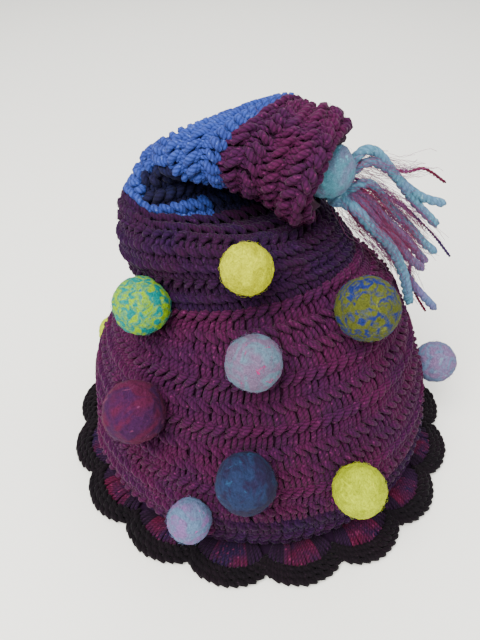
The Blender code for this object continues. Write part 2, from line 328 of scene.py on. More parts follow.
def band(add, source, low, high):
    """Map Range of a value to 0..1."""
    node = add("ShaderNodeMapRange", links=((0, source),))
    node.inputs[1].default_value = low
    node.inputs[2].default_value = high
    return node.outputs[0]


def noise(add, coords, scale, detail=2.0, stretch=None, twist=0.0):
    """Noise texture; the stretch scales its coordinates."""
    if stretch:
        mapping = add("ShaderNodeMapping", links=((0, coords),))
        mapping.inputs["Scale"].default_value = stretch
        coords = mapping.outputs[0]
    node = add("ShaderNodeTexNoise", links=(("Vector", coords),))
    node.inputs["Scale"].default_value = scale
    node.inputs["Detail"].default_value = detail
    node.inputs["Distortion"].default_value = twist
    return node.outputs["Fac"]


FIBRE_SCALE = 620.0            # noise as fine as single fibres, per metre


def yarn_material(name, colours, pitch=5.0, plies=3, patch=55.0, groove_shade=0.5, sheen=0.08):
    """Plied wool yarn: colours are (main, second, heather, heather share); the grooves between its
    plies are darkened as painted shade.
    """
    main, second, heather, share = colours
    made, tree, shader, add = nodes_of(name, sheen=sheen, sheen_tint=tuple(
        min(1.0, 0.35 + 2.2 * c) for c in main))
    coords = add("ShaderNodeTexCoord")
    place = coords.outputs["Object"]
    split = add("ShaderNodeSeparateXYZ", links=((0, coords.outputs["UV"]),))
    along = add("ShaderNodeMath", links=((0, split.outputs[0]),), operation="MULTIPLY")
    along.inputs[1].default_value = 2 * math.pi * plies / pitch
    turn = add("ShaderNodeMath", links=((0, split.outputs[1]),), operation="MULTIPLY")
    turn.inputs[1].default_value = 2 * math.pi * plies
    phase = add("ShaderNodeMath", links=((0, along.outputs[0]), (1, turn.outputs[0])),
                operation="ADD")
    wave = add("ShaderNodeMath", links=((0, phase.outputs[0]),), operation="SINE")
    ply = band(add, wave.outputs[0], -1.0, 0.4)
    fibre = noise(add, coords.outputs["UV"], 3.0, 3.0, (0.35, 9.0, 1.0))
    mottle = band(add, noise(add, place, patch, 3.0), 0.38, 0.62)
    colour = mix(add, mottle, main, second)
    heathered = band(add, noise(add, place, FIBRE_SCALE, 2.0), 0.66 - 0.22 * share, 0.74)
    colour = mix(add, heathered, colour, heather)
    shade = band(add, fibre, 0.25, 0.75)
    shade_colour = mix(add, shade, (0.62, 0.62, 0.62), (1.15, 1.15, 1.15))
    colour = mix(add, 1.0, colour, shade_colour, "MULTIPLY")
    # Painted shade: the colour darkens in the grooves between the plies.
    dark = mix(add, ply, (1 - groove_shade,) * 3, (1.0, 1.0, 1.0))
    colour = mix(add, 1.0, colour, dark, "MULTIPLY")
    tree.links.new(colour, shader.inputs["Base Color"])
    height = add("ShaderNodeMath", links=((0, ply), (1, fibre)), operation="ADD")
    bump = add("ShaderNodeBump", links=((2, height.outputs[0]),))
    bump.inputs["Strength"].default_value = 0.7
    bump.inputs["Distance"].default_value = 0.00035
    tree.links.new(bump.outputs[0], shader.inputs["Normal"])
    return made


def paint(piece, material):
    piece.data.materials.clear()
    piece.data.materials.append(material)


# Yarn colours: main, second, heather and the heather's share.
MAGENTA = ((0.060, 0.0040, 0.036), (0.040, 0.0040, 0.036), (0.14, 0.018, 0.085), 0.2)
INDIGO = ((0.017, 0.0025, 0.029), (0.026, 0.0028, 0.024), (0.055, 0.012, 0.07), 0.2)
BLUE = ((0.030, 0.060, 0.290), (0.025, 0.045, 0.230), (0.07, 0.12, 0.38), 0.2)
# The next colour is painted shade: the blue stitches in the fold's hollow, made near black for the
# shadow that falls there.
HOLLOW_SHADE = ((0.006, 0.008, 0.040), (0.009, 0.006, 0.026), (0.02, 0.02, 0.06), 0.1)
FAN = ((0.075, 0.004, 0.026), (0.018, 0.007, 0.036), (0.17, 0.02, 0.075), 0.35)
DUSK = ((0.012, 0.004, 0.014), (0.020, 0.005, 0.026), (0.04, 0.01, 0.04), 0.15)
BLACK = ((0.0045, 0.0025, 0.0045), (0.007, 0.003, 0.006), (0.02, 0.01, 0.018), 0.12)

# ================================================================ slits for spout and handle
SLITS = ((-1, 9.0, 56.0, 42.0), (1, 12.0, 98.0, 20.0))     # side, bottom, top, width
SLIT_POINT = 0.25              # how much a slit narrows towards its two ends
SLIT_SIDE = 40.0               # a slit is only where the hat lies this far out to its side
SLIT_CUT = (45.0, 120.0)
SLIT_SIDES = 40
FAR_OUT = 9.0                  # share that stands for nowhere near a slit
LOOP_SPACING = 4.6             # loops along a slit's raw edge
LOOP = ((-2.6, 3.4, -1.2), (-1.4, 2.2, 0.4), (0.4, 0.2, 0.6), (2.4, -0.4, -1.0),
        (2.8, -0.2, -3.2))
LOOP_YARN, LOOP_LOWEST = 1.25, 2.0


def slit_curve(bottom, top, width, turn):
    """A slit's outline at angles from its top: distances across it, and heights."""
    across = width / 2 * np.sin(turn) * np.abs(np.sin(turn)) ** SLIT_POINT
    return across, (bottom + top) / 2 + (top - bottom) / 2 * np.cos(turn)


def slit_share(points):
    """How far points lie inside a slit's outline: below 1 is inside."""
    share = np.full(points.shape[:-1], FAR_OUT)
    for side, bottom, top, width in SLITS:
        high = (points[..., 2] - (bottom + top) / 2) / ((top - bottom) / 2)
        sine = np.sqrt(np.maximum(1 - np.clip(np.abs(high), 0, 1) ** 2, 1e-6))
        wide = np.abs(points[..., 1]) / (sine ** (1 + SLIT_POINT) * width / 2)
        inside = np.where(np.abs(high) < 1, wide, FAR_OUT)
        near = points[..., 0] * side > SLIT_SIDE
        share = np.minimum(share, np.where(near, inside, FAR_OUT))
    return share


def slit_outline(side, bottom, top, width, count):
    """Evenly spaced points round a slit, on the hat's surface, with the surface's normals."""
    y, z = slit_curve(bottom, top, width, np.linspace(0, 2 * math.pi, 721))
    length = np.concatenate(((0,), np.cumsum(np.hypot(np.diff(y), np.diff(z)))))
    even = np.linspace(0, length[-1], count, endpoint=False)
    y, z = np.interp(even, length, y), np.interp(even, length, z)
    levels, turns = np.meshgrid(np.linspace(0, 8.5, 205), np.arange(0, 360, 0.75), indexing="ij")
    points, normals = hat_frame(levels, turns)
    near = points[..., 0] * side > SLIT_SIDE
    points, normals = points[near], normals[near]
    gap = (points[None, :, 1] - y[:, None]) ** 2 + (points[None, :, 2] - z[:, None]) ** 2
    found = gap.argmin(axis=1)
    return points[found], normals[found]


# =========================================================================== crochet rounds
SINK = 1.5                     # the stitches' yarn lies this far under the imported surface
TEMPLATE_YARN = 1.4            # yarn radius for which the templates' heights are drawn
CLOTH_OUT, CLOTH_IN = 2.6, 4.2  # the cloth's two faces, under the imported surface
HEM_HEIGHT = 0.4
# Painted shade in the fold's hollow: its levels, the angle round its middle, and how far it reaches
# either way.
FOLD_SHADE_LEVELS, FOLD_SHADE_AROUND, FOLD_SHADE_REACH = (13.0, 15.4), -8.0, 66.0
LIP_AROUND, LIP_REACH = -90.0, 78.0    # where the neck's front edge shows blue
FIRST_ROUND_TOP = 1.6
BASE_JOIN = (-176.0, -116.0)   # compass angles where magenta comes down to the hem
HEM, BASE, BODY, NECK, FLAP, TIP = 0.0, 2.87, 8.0, 12.4, 17.3, 21.65   # levels between bands
CLEAR_OF_SLIT = 1.1            # slit share outside which a stitch is kept


def round_levels(first, last, height):
    """Levels that part a band of the hat into rounds of about one stitch height."""
    levels = np.linspace(first, last, 200)
    turns = np.arange(0, 360, 15.0)
    points = hat_point(levels[:, None], turns[None, :])
    climb = np.linalg.norm(np.diff(points, axis=0), axis=2).mean(axis=1)
    length = np.concatenate(((0,), np.cumsum(climb)))
    count = max(1, round(length[-1] / height))
    return np.interp(np.linspace(0, length[-1], count + 1), length, levels)


# A stitch is drawn in shares of its width (u) and of its round's height (v), and in mm out of
# the fabric (n).  Each strand has its own thickness as a share of the yarn's, and its ends'
# thickness as a share of its middle's.
TALL = (
    (((0.30, -0.06, -0.6), (0.24, 0.20, 0.9), (0.16, 0.46, 1.0), (0.10, 0.78, -1.5)), 0.95, 0.8),
    (((0.78, -0.06, -0.6), (0.72, 0.20, 0.9), (0.62, 0.46, 1.0), (0.54, 0.78, -1.5)), 0.95, 0.8),
    (((-0.16, 1.20, -0.6), (0.14, 1.12, 0.7), (0.54, 0.98, 1.2), (0.94, 0.84, 0.2)), 0.85, 0.7),
    (((-0.14, 1.08, 0.0), (0.04, 1.02, 1.9), (0.40, 0.88, 2.6), (0.76, 0.72, 1.9),
      (0.92, 0.64, -0.2)), 1.05, 0.66),
)
SHORT = (
    (((0.32, -0.06, -0.8), (0.26, 0.18, 0.5), (0.16, 0.44, 0.5), (0.08, 0.74, -0.8)), 0.86, 0.8),
    (((0.80, -0.06, -0.8), (0.74, 0.18, 0.5), (0.62, 0.44, 0.5), (0.54, 0.74, -0.8)), 0.86, 0.8),
    (((-0.10, 1.20, -1.0), (0.14, 1.12, 0.8), (0.52, 0.96, 1.3), (0.86, 0.80, -0.6)), 0.95, 0.6),
    (((-0.04, 1.02, -0.6), (0.10, 0.94, 1.9), (0.42, 0.74, 2.7), (0.74, 0.52, 1.9),
      (0.86, 0.44, -0.6)), 1.28, 0.5),
)


def stitches(name, levels, width, yarn, seed, shape=TALL, loose=0.05, where=None, points=6):
    """Every stitch between the given levels, as one mesh of yarn tubes.

    Width is one stitch's and yarn is the radius; `where` picks the stitches to keep.
    """
    draw = np.random.default_rng(seed)
    groups = []
    for number, (low, high) in enumerate(zip(levels, levels[1:])):
        length, share, turns = even_around((low + high) / 2)
        count = max(8, round(length / width))
        lean = -1 if number % 3 == 1 else 1
        begin = np.arange(count) + draw.uniform(0, 1)
        bend = draw.normal(0, loose, (count, 2))
        plump = draw.normal(1, 0.07, (count, 1))
        for template, thick, taper in shape:
            path = curve_through(template, points)
            u, v, n = path.T
            u = u if lean > 0 else 1 - u
            wobble = draw.normal(0, loose * 0.6, (count, 3))
            places = begin[:, None] + u + bend[:, :1] + wobble[:, :1]
            level = low + (v + bend[:, 1:] * 0.5 + wobble[:, 1:2] * 0.5) * (high - low)
            around = np.interp((places / count) % 1.0, share, turns)
            surface, normal = hat_frame(np.clip(level, 0.12, LAST), around)
            lift = n * yarn / TEMPLATE_YARN - SINK + wobble[:, 2:3] * 4
            paths = surface + normal * lift[..., None]
            keep = slit_share(surface[:, points // 2]) > CLEAR_OF_SLIT
            if where is not None:
                middle = np.interp((begin + 0.5) / count % 1.0, share, turns)
                keep &= where((low + high) / 2, middle)
            belly = taper + (1 - taper) * np.sin(np.linspace(0, math.pi, points)) ** 0.6
            groups.append((paths[keep], normal[keep], (yarn * thick * plump * belly)[keep]))
    return tubes(name, groups)


def skin(name, rings, closed=False):
    """A mesh of quads between rings of points, capped at both ends unless it is closed."""
    shape = bmesh.new()
    made = [[shape.verts.new(p * MM) for p in ring] for ring in rings]
    count = len(rings[0])
    pairs = list(zip(made, made[1:] + made[:1])) if closed else list(zip(made, made[1:]))
    for low, high in pairs:
        for i in range(count):
            j = (i + 1) % count
            shape.faces.new((low[i], low[j], high[j], high[i]))
    if not closed:
        shape.faces.new(made[0])
        shape.faces.new(made[-1])
    bmesh.ops.recalc_face_normals(shape, faces=shape.faces)
    mesh = bpy.data.meshes.new(name)
    shape.to_mesh(mesh)
    shape.free()
    return new_object(name, mesh)


def cut_slits(cloth):
    """Cuts both slits through the cloth."""
    for side, bottom, top, width in SLITS:
        turn = np.linspace(0, 2 * math.pi, SLIT_SIDES, endpoint=False)
        y, z = slit_curve(bottom, top, width, turn)
        rings = [np.stack((np.full(SLIT_SIDES, side * x), y, z), -1) for x in SLIT_CUT]
        cutter = skin("slit_cutter", rings)
        cut = cloth.modifiers.new("slit", "BOOLEAN")
        cut.object = cutter
        cut.solver = "EXACT"
        baked = bpy.data.meshes.new_from_object(
            cloth.evaluated_get(bpy.context.evaluated_depsgraph_get()))
        cloth.modifiers.clear()
        cloth.data = baked
        bpy.data.objects.remove(cutter)


CLOTH_BANDS = (HEM, BASE, BODY, NECK, FLAP, LAST)
CLOTH_COLOURS = (1, 0, 1, 2, 0, 0)     # magenta 0, indigo 1, blue 2, from the hem up


def band_of(points):
    """Band of the hat nearest to each point."""
    levels = np.linspace(0, LAST, 177)
    grid = hat_point(levels[:, None], np.arange(0, 360, 6.0)[None, :], CLOTH_OUT)
    found = []
    for block in np.array_split(points, 40):
        gap = np.linalg.norm(grid[None] - block[:, None, None, :], axis=-1).min(axis=2)
        found.append(levels[gap.argmin(axis=1)])
    return np.searchsorted(CLOTH_BANDS, np.concatenate(found), side="right") - 1


def hat_cloth(materials):
    """The cloth under the stitches: a thin closed skin with both slits cut out."""
    levels = np.linspace(0.0, LAST, 100)
    turns = np.arange(0, 360, 4.0)
    outer = hat_point(levels[:, None], turns[None, :], CLOTH_OUT)
    inner = hat_point(levels[:, None], turns[None, :], CLOTH_IN)
    outer[0, :, 2] = inner[0, :, 2] = HEM_HEIGHT
    cloth = skin("hat_cloth", np.concatenate((outer, inner[::-1])), closed=True)
    cut_slits(cloth)
    mesh = cloth.data
    centres = np.array([p.center for p in mesh.polygons]) / MM
    mesh.materials.clear()
    for made in materials:
        mesh.materials.append(made)
    colours = np.array(CLOTH_COLOURS, np.int32)
    mesh.polygons.foreach_set("material_index", colours[band_of(centres)])
    mesh.polygons.foreach_set("use_smooth", np.ones(len(mesh.polygons), bool))
    return cloth


def dress(piece, material):
    """Paints a piece and ties it to the part's body."""
    if material is not None:
        paint(piece, material)
    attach(piece, "root")
    return piece


def indigo_base(level, around):
    """True where the rounds above the hem are indigo: not at the front left, above the first."""
    spot = hat_point(level, around)
    compass = np.degrees(np.arctan2(spot[..., 1], spot[..., 0]))
    return (level < FIRST_ROUND_TOP) | (compass < BASE_JOIN[0]) | (compass > BASE_JOIN[1])


def magenta_base(level, around):
    return ~indigo_base(level, around)


def in_fold_shade(level, around):
    """True in the shaded hollow between the neck's front edge and the flopped tip, where the
    stitches get painted shade.
    """
    first = np.where(off_from(around, LIP_AROUND) < LIP_REACH, FOLD_SHADE_LEVELS[0], 0.0)
    inside = (level > first) & (level < FOLD_SHADE_LEVELS[1])
    return inside & (off_from(around, FOLD_SHADE_AROUND) < FOLD_SHADE_REACH)


def outside_fold_shade(level, around):
    return ~in_fold_shade(level, around)


def slit_edging(side, bottom, top, width):
    """A round of loops worked over the raw edge of a slit."""
    count = round(2.1 * (top - bottom + width) / LOOP_SPACING)
    points, normal = slit_outline(side, bottom, top, width, count)
    along = unit(np.roll(points, -1, axis=0) - np.roll(points, 1, axis=0))
    away = unit(np.cross(along, normal))
    centre = points.mean(axis=0)
    away *= np.sign(np.sum((points - centre) * away, axis=1))[:, None]
    path = curve_through(LOOP, 7)
    paths = (points[:, None] + along[:, None] * path[None, :, :1]
             + away[:, None] * path[None, :, 1:2] + normal[:, None] * path[None, :, 2:])
    paths[..., 2] = np.maximum(paths[..., 2], LOOP_LOWEST)
    ups = np.repeat(normal[:, None], 7, axis=1)
    name = "spout_slit_edging" if side < 0 else "handle_slit_edging"
    return tubes(name, [(paths, ups, LOOP_YARN)])


HALO_FIBRE, BALL_FIBRE, MOHAIR_FIBRE = 0.035, 0.03, 0.08    # radii of loose fibres


def halo(name, first, last, count, seed):
    """Loose wool fibres that stand off a band of the hat."""
    draw = np.random.default_rng(seed)
    level = draw.uniform(first, last, count)
    around = draw.uniform(0, 360, count)
    surface, normal = hat_frame(level, around)
    keep = slit_share(surface) > CLEAR_OF_SLIT + 0.1
    surface, normal = surface[keep], normal[keep]
    side = unit(np.cross(normal, draw.normal(0, 1, normal.shape)))
    other = np.cross(normal, side)
    share = np.linspace(0, 1, 5)[None, :, None]
    reach = draw.uniform(2.5, 7.0, (len(normal), 1, 1))
    lift = draw.uniform(0.3, 2.4, (len(normal), 1, 1))
    curl = draw.normal(0, 1.6, (len(normal), 1, 1))
    paths = (surface[:, None] + side[:, None] * (share - 0.5) * reach
             + other[:, None] * curl * share ** 2
             + normal[:, None] * (0.2 + lift * 4 * share * (1 - share)))
    ups = np.repeat(normal[:, None], 5, axis=1)
    return tubes(name, [(paths, ups, HALO_FIBRE)], sides=3)


def cloth_material(name, look):
    """The same wool seen between the stitches, in their shade."""
    shaded = [tuple(0.45 * c for c in colour) for colour in look[:3]]
    return yarn_material(name, (*shaded, 0.1), groove_shade=0.2)


def hat():
    magenta = yarn_material("magenta_wool", MAGENTA)
    indigo = yarn_material("indigo_wool", INDIGO)
    blue = yarn_material("blue_wool", BLUE, pitch=4.4)
    cloth = hat_cloth((cloth_material("magenta_cloth", MAGENTA),
                       cloth_material("indigo_cloth", INDIGO),
                       cloth_material("blue_cloth", BLUE)))
    dress(cloth, None)
    body = round_levels(BASE, BODY, 9.0)
    half = len(body) // 2
    # Painted shade: near-black yarn for the stitches that lie in the shadow of the fold's hollow.
    fold = yarn_material("fold_shade_wool", HOLLOW_SHADE)
    base = round_levels(0.25, BASE, 8.6)
    flap = round_levels(NECK, FLAP, 6.2)
    pieces = (
        (stitches("hat_base_rounds", base, 5.3, 1.28, 1, where=indigo_base), indigo),
        (stitches("hat_joining_rounds", base, 5.3, 1.28, 1, where=magenta_base), magenta),
        (stitches("hat_lower_rounds", body[:half + 1], 5.3, 1.28, 2), magenta),
        (stitches("hat_upper_rounds", body[half:], 5.3, 1.28, 3), magenta),
        (stitches("hat_neck_rounds", round_levels(BODY, NECK, 8.0), 5.2, 1.25, 4), indigo),
        (stitches("hat_blue_rounds", flap, 4.7, 1.3, 5, SHORT, where=outside_fold_shade), blue),
        (stitches("hat_fold_shade_rounds", flap, 4.7, 1.3, 5, SHORT, where=in_fold_shade), fold),
        (stitches("hat_tip_rounds", round_levels(FLAP, TIP, 5.7), 4.7, 1.2, 6, SHORT, 0.12),
         magenta),
    )
    rounds = [dress(piece, colours) for piece, colours in pieces]
    soft = fluff_material("magenta_fuzz", MAGENTA[0])
    dark = fluff_material("indigo_fuzz", INDIGO[0])
    rounds.append(dress(halo("hat_body_fuzz", 2.9, 8.0, 1400, 61), soft))
    rounds.append(dress(halo("hat_neck_fuzz", 8.0, 12.4, 600, 62), dark))
    rounds.append(dress(halo("hat_tip_fuzz", 17.4, 21.6, 800, 63), soft))
    for slit in SLITS:
        rounds.append(dress(slit_edging(*slit), magenta))
    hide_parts("hat")
    return cloth, rounds


# ============================================================================= scalloped frill
# Each scallop: the compass angle of its crest, and how far it reaches past the others in mm.
SCALLOPS = (
    (-177, -0.5), (-156, 0.0), (-134, 0.0), (-112, 1.0), (-91, 0.5), (-70, 1.0), (-49, 0.5),
    (-28, 0.0), (-7, 0.0), (14, 0.5), (35, -0.5), (56, 0.5), (78, 0.5), (99, 1.2), (120, 0.0),
    (141, 0.0), (162, -0.5),
)
HEM_RADIUS = 84.5              # where the fans start, under the hat's hem
FAN_NOTCH, FAN_CREST = 92.5, 100.5
EDGE_NOTCH, EDGE_CREST = 99.5, 108.0
BOW = 0.85                     # how round a scallop is: 1 is an ellipse, 0 is a point
SHEET_LOW, SHEET_HIGH = 0.3, 1.5       # the ring of cloth under the frill's stitches
FAN_PLACES = 9                 # puffs side by side in one fan
DARK_FROM = 0.7                # share of half a fan outside which its puffs are dark


def scallop_radius(angle, notch, crest):
    """Radius of a scalloped outline at compass angles in degrees."""
    angle = np.asarray(angle, float)
    radius = np.full(angle.shape, float(notch))
    for i, (here, reach) in enumerate(SCALLOPS):
        after = SCALLOPS[(i + 1) % len(SCALLOPS)][0]
        before = SCALLOPS[i - 1][0]
        ahead, behind = (after - here) % 360, (here - before) % 360
        offset = (angle - here + 180) % 360 - 180
        share = np.abs(offset) / np.where(offset >= 0, ahead, behind)
        bow = np.sqrt(np.maximum(0.0, 1 - (2 * share) ** 2))
        shape = (1 - BOW) * (1 - 2 * share) + BOW * bow
        reached = notch + (crest + reach - notch) * shape
        radius = np.where(share <= 0.5, reached, radius)
    return radius


def polar(radius, angle, height):
    """Points from radii, compass angles and heights."""
    turn = np.radians(angle)
    radius, turn, height = np.broadcast_arrays(radius, turn, height)
    return np.stack((radius * np.cos(turn), radius * np.sin(turn), height), -1)


def frill_sheet(name, inner, outer):
    """A thin flat ring of cloth between two outlines."""
    angles = np.arange(0, 360, 1.5)
    corners = ((inner, SHEET_LOW), (outer, SHEET_LOW), (outer, SHEET_HIGH), (inner, SHEET_HIGH))
    rings = [polar(outline(angles), angles, height) for outline, height in corners]
    piece = skin(name, rings, closed=True)
    piece.data.polygons.foreach_set("use_smooth", np.zeros(len(piece.data.polygons), bool))
    return piece


# Rounds of the edging: share of its width, loop spacing, height, rise and yarn radius.
EDGE_ROUNDS = (
    (0.05, 4.0, 2.9, 1.7, 1.3),
    (0.42, 4.2, 2.2, 1.8, 1.4),
    (0.80, 4.3, 1.7, 1.3, 1.45),
)


def along_outline(notch, crest, spacing):
    """Angles of evenly spaced places round a scalloped outline."""
    angles = np.linspace(0, 360, 3601)
    points = polar(scallop_radius(angles, notch, crest), angles, 0.0)
    length = np.concatenate(((0,), np.cumsum(np.linalg.norm(np.diff(points, axis=0), axis=1))))
    count = round(length[-1] / spacing)
    return np.interp(np.arange(count) * length[-1] / count, length, angles)


def laid_flat(paths, radii):
    """A group for tubes() whose yarn lies flat, facing up."""
    return paths, np.broadcast_to((0.0, 0.0, 1.0), paths.shape), radii


def fans(name, dark):
    """Puffy stitches that spread over each scallop from the hem: the dark outer ones or the rest."""
    draw = np.random.default_rng(31)
    groups = []
    place = np.linspace(-1, 1, FAN_PLACES)
    chosen = (np.abs(place) > DARK_FROM) == dark
    share = np.linspace(0, 1, 7)
    thick = 0.7 + 0.36 * np.sin(share * math.pi) ** 0.8
    for i, (here, _) in enumerate(SCALLOPS):
        ahead = (SCALLOPS[(i + 1) % len(SCALLOPS)][0] - here) % 360
        behind = (here - SCALLOPS[i - 1][0]) % 360
        half = np.where(place > 0, ahead, behind) / 2
        puff = draw.normal(0, 0.5, (FAN_PLACES, 1))
        for side in (-0.5, 0.5):
            spread = place * half * 0.92 + side * half * 0.11
            outer = scallop_radius(here + spread * 0.95, FAN_NOTCH, FAN_CREST) + 0.6
            angle = here + spread[:, None] * (0.66 + 0.30 * share[None, :])
            radius = HEM_RADIUS + (outer[:, None] - HEM_RADIUS) * share[None, :]
            height = 2.1 + 2.2 * np.sin(share ** 1.3 * math.pi)[None, :] + puff
            groups.append(laid_flat(polar(radius, angle, height)[chosen], thick))
    return tubes(name, groups)


def edging():
    """Dark loops in three rounds outside the fans, the last one a bumpy rim."""
    draw = np.random.default_rng(37)
    groups = []
    sweep = np.linspace(0, 1, 7)
    bow = np.sin(sweep * math.pi)
    for share, spacing, low, tall, thick in EDGE_ROUNDS:
        places = along_outline(FAN_NOTCH + (EDGE_NOTCH - FAN_NOTCH) * share,
                               FAN_CREST + (EDGE_CREST - FAN_CREST) * share, spacing)
        step = np.roll(places, -1) - places
        step[-1] += 360
        angle = places[:, None] + step[:, None] * (sweep * 1.45 - 0.2)
        near = scallop_radius(angle % 360, FAN_NOTCH, FAN_CREST)
        far = scallop_radius(angle % 360, EDGE_NOTCH, EDGE_CREST)
        radius = near + (far - near) * share + (sweep - 0.5) * 2.6 + bow * 0.5
        height = low + tall * bow + draw.normal(0, 0.25, (len(places), 1))
        size = draw.normal(1, 0.08, (len(places), 1))
        radii = thick * size * (0.75 + 0.25 * bow)
        groups.append(laid_flat(polar(radius, angle, height), radii))
    return tubes("edging_stitches", groups)


def frill():
    fan_wool = yarn_material("fan_wool", FAN, patch=95.0)
    black = yarn_material("edging_wool", BLACK)
    fan_cloth = frill_sheet("fan_cloth", lambda t: np.full(t.shape, HEM_RADIUS),
                            lambda t: scallop_radius(t, FAN_NOTCH, FAN_CREST))
    edge_cloth = frill_sheet("edging_cloth",
                             lambda t: scallop_radius(t, FAN_NOTCH, FAN_CREST) + 0.3,
                             lambda t: scallop_radius(t, EDGE_NOTCH, EDGE_CREST) - 1.2)
    dress(fan_cloth, yarn_material("fan_cloth_wool", DUSK))
    dress(edge_cloth, black)
    fan_yarn = dress(fans("fan_stitches", False), fan_wool)
    dusk = yarn_material("fan_dark_wool", DUSK)
    fan_dark = dress(fans("fan_dark_stitches", True), dusk)
    edge_yarn = dress(edging(), black)
    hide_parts("frill_fans")
    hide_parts("frill_edging")
    return fan_cloth, (fan_yarn, fan_dark), edge_cloth, edge_yarn


# ================================================================================= felt balls
# A ball's place on the hat, radius, main and second colour, colour of its flecks, the scale of
# its patches, and how much of it has the main colour.
Felt = namedtuple("Felt", "name level around radius first second speck patch share")
FELT = (
    Felt("turquoise_green", 8.74, -82, 12.4,
         (0.0, 0.15, 0.14), (0.16, 0.30, 0.0), (0.0, 0.10, 0.20), 230, 0.50),
    Felt("yellow", 10.05, -26, 10.2,
         (0.37, 0.39, 0.0), (0.29, 0.30, 0.0), (0.44, 0.44, 0.005), 120, 0.5),
    Felt("olive", 7.12, 1.5, 13.6,
         (0.060, 0.068, 0.008), (0.008, 0.016, 0.10), (0.09, 0.10, 0.015), 230, 0.53),
    Felt("light_blue", 6.83, -40, 11.6,
         (0.080, 0.125, 0.175), (0.11, 0.075, 0.13), (0.28, 0.015, 0.11), 120, 0.5),
    Felt("side_blue", 3.6, 50, 11.6,
         (0.09, 0.13, 0.22), (0.14, 0.09, 0.18), (0.13, 0.20, 0.28), 120, 0.5),
    Felt("back_lime", 2.5, -160, 12.0,
         (0.42, 0.52, 0.0), (0.34, 0.42, 0.0), (0.50, 0.54, 0.01), 120, 0.5),
    Felt("magenta", 5.35, -77, 14.0,
         (0.060, 0.006, 0.028), (0.032, 0.006, 0.036), (0.10, 0.02, 0.06), 90, 0.5),
    Felt("navy", 4.43, -44, 13.0,
         (0.012, 0.020, 0.055), (0.012, 0.009, 0.030), (0.014, 0.044, 0.10), 110, 0.5),
    Felt("lime", 3.86, -14, 12.1,
         (0.34, 0.40, 0.0), (0.27, 0.32, 0.0), (0.40, 0.44, 0.002), 120, 0.5),
    Felt("lilac", 3.22, -59, 10.1,
         (0.08, 0.13, 0.22), (0.14, 0.08, 0.20), (0.24, 0.06, 0.22), 120, 0.5),
)
BALL_FLAT, BALL_GAP = 0.80, 0.8        # where a ball is pressed flat, and its gap to the hat
BALL_FIBRES = 260
BALL_LUMPS = ((1.6, 0.05), (6.0, 0.035), (17.0, 0.022))     # frequency, height
BALL_SHARE = 0.985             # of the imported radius
TIP_RADIUS, TIP_BEHIND = 11.6, 3.0


def felt_material(felt):
    """Wet-felted wool: two mottled colours, a few flecks, and matted fibres."""
    made, tree, shader, add = nodes_of("felt_" + felt.name, 0.95, 0.06, tuple(
        min(1.0, 0.1 + 1.5 * c) for c in felt.first))
    place = add("ShaderNodeTexCoord").outputs["Object"]
    patches = noise(add, place, felt.patch, 6.0, twist=1.3)
    patches = band(add, patches, felt.share - 0.07, felt.share + 0.07)
    colour = mix(add, patches, felt.first, felt.second)
    flecks = band(add, noise(add, place, 190.0, 3.0, twist=1.0), 0.64, 0.69)
    colour = mix(add, flecks, colour, felt.speck)
    fibres = noise(add, place, FIBRE_SCALE, 5.0, (1.0, 0.5, 1.0), twist=2.5)
    shade = mix(add, band(add, fibres, 0.3, 0.7), (0.6, 0.6, 0.6), (1.25, 1.25, 1.25))
    colour = mix(add, 1.0, colour, shade, "MULTIPLY")
    tree.links.new(colour, shader.inputs["Base Color"])
    bump = add("ShaderNodeBump", links=((2, fibres),))
    bump.inputs["Strength"].default_value = 0.9
    bump.inputs["Distance"].default_value = 0.0008
    tree.links.new(bump.outputs[0], shader.inputs["Normal"])
    return made


def fluff_material(name, colour):
    """Plain fine fibres, a little lighter than the wool they stand off: painted light for the light
    that shines through them.
    """
    made, _, shader, _ = nodes_of(name, 1.0, 0.0)
    shader.inputs["Base Color"].default_value = (*(min(1.0, 1.35 * c + 0.004) for c in colour), 1)
    return made


def round_form(name, centre, radius, out, flat, seed):
    """A slightly lumpy ball, pressed flat on its side away from `out`."""
    shape = bmesh.new()
    bmesh.ops.create_icosphere(shape, subdivisions=5, radius=1.0)
    turn = Vector((0, 0, 1)).rotation_difference(Vector(out))
    for vert in shape.verts:
        way = vert.co.copy()
        lump = 0.0
        for axis, (often, height) in enumerate(BALL_LUMPS):
            shift = Vector((0, 0, 0))
            shift[axis] = seed
            lump += mathutils.noise.noise(way * often + shift) * height
        vert.co = way * (radius * (BALL_SHARE + lump))
        vert.co.z = max(vert.co.z, -flat * radius)
        vert.co = (Vector(centre) + turn @ vert.co) * MM
    mesh = bpy.data.meshes.new(name)
    shape.to_mesh(mesh)
    shape.free()
    mesh.polygons.foreach_set("use_smooth", np.ones(len(mesh.polygons), bool))
    return new_object(name, mesh)


def fuzz(centre, radius, out, flat, count, seed):
    """Loose fibres that curl off a ball's felt."""
    draw = np.random.default_rng(seed)
    way = unit(draw.normal(0, 1, (count, 3)))
    way = way[way @ np.array(out) > -flat + 0.1]
    side = unit(np.cross(way, draw.normal(0, 1, way.shape)))
    reach = draw.uniform(2.0, 5.5, (len(way), 1))
    lift = draw.uniform(0.2, 1.1, (len(way), 1)) * draw.uniform(0.3, 1.3, (len(way), 1))
    share = np.linspace(0, 1, 5)
    sweep = (share[None, :] - 0.5) * reach / radius
    rise = radius * BALL_SHARE + (4 * share * (1 - share))[None, :] * lift - 0.15
    curl = draw.normal(0, 0.5, (len(way), 1)) * share[None, :] ** 2 / radius * 3
    third = np.cross(way, side)
    spot = unit(way[:, None] + side[:, None] * sweep[..., None] + third[:, None] * curl[..., None])
    paths = np.array(centre) + spot * rise[..., None]
    return paths, spot, BALL_FIBRE


